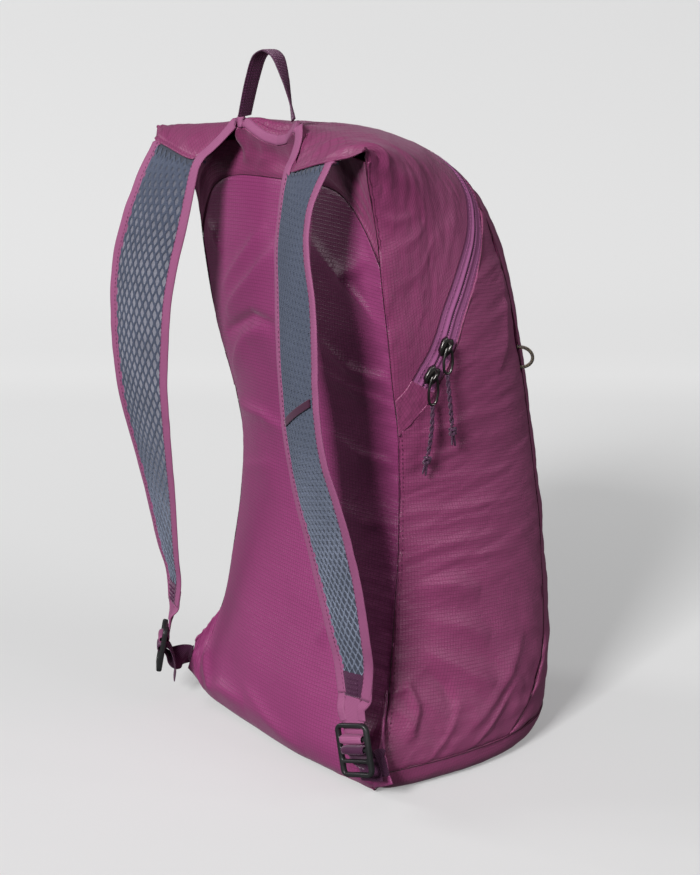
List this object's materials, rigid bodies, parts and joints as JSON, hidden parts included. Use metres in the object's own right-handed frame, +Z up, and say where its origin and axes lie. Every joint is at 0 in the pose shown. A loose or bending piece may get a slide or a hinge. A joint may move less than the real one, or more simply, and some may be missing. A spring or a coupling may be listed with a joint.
{
  "type": "packable backpack",
  "caption": "Light ripstop backpack with a zip arching over its front, mesh shoulder straps on ladder locks, a haul loop and corded zip pulls, standing upright and filled out.",
  "frame": {"origin": "middle of the base's flat underside, on the surface that the pack stands on", "axes": "+Z up, -Y out of the back panel where the shoulder straps are, +Y out of the front, +X to the side with the attachment loop and the labelled strap"},
  "size_m": [0.2849, 0.2698, 0.5014],
  "materials": {
    "body": "satin",
    "binding": "satin",
    "tape": "matt",
    "mesh": "matt",
    "chain": "satin",
    "webbing": "matt",
    "plastic": "satin",
    "metal": "satin",
    "cord": "matt",
    "label": "satin"
  },
  "bodies": {
    "root": {"side_panel_right": "body", "side_panel_left": "body", "front_panel": "body", "hood_panel": "body", "back_panel": "body", "upper_back_panel": "body", "base_panel": "body", "zip_tape_upper": "tape", "zip_tape_lower": "tape", "zip_chain": "chain", "zip_end_strip_right": "body", "zip_end_strip_left": "body", "zip_slider_upper": "metal", "zip_slider_lower": "metal", "pull_ring_upper": "metal", "pull_ring_lower": "metal", "pull_cord_upper": "cord", "pull_cord_lower": "cord", "pull_knot_upper": "cord", "pull_knot_lower": "cord", "attachment_loop": "cord", "neck_binding": "binding", "haul_loop": "webbing", "strap_mesh_right": "mesh", "strap_mesh_left": "mesh", "strap_patch_right": "webbing", "strap_patch_left": "webbing", "strap_binding_outer_right": "binding", "strap_binding_outer_left": "binding", "strap_binding_inner_right": "binding", "strap_binding_inner_left": "binding", "strap_label": "label", "strap_tab_right": "binding", "strap_tab_left": "binding", "ladder_lock_right": "plastic", "ladder_lock_left": "plastic", "lower_webbing_right": "webbing", "lower_webbing_left": "webbing", "wing_right": "body", "wing_left": "body"}
  },
  "joints": []
}
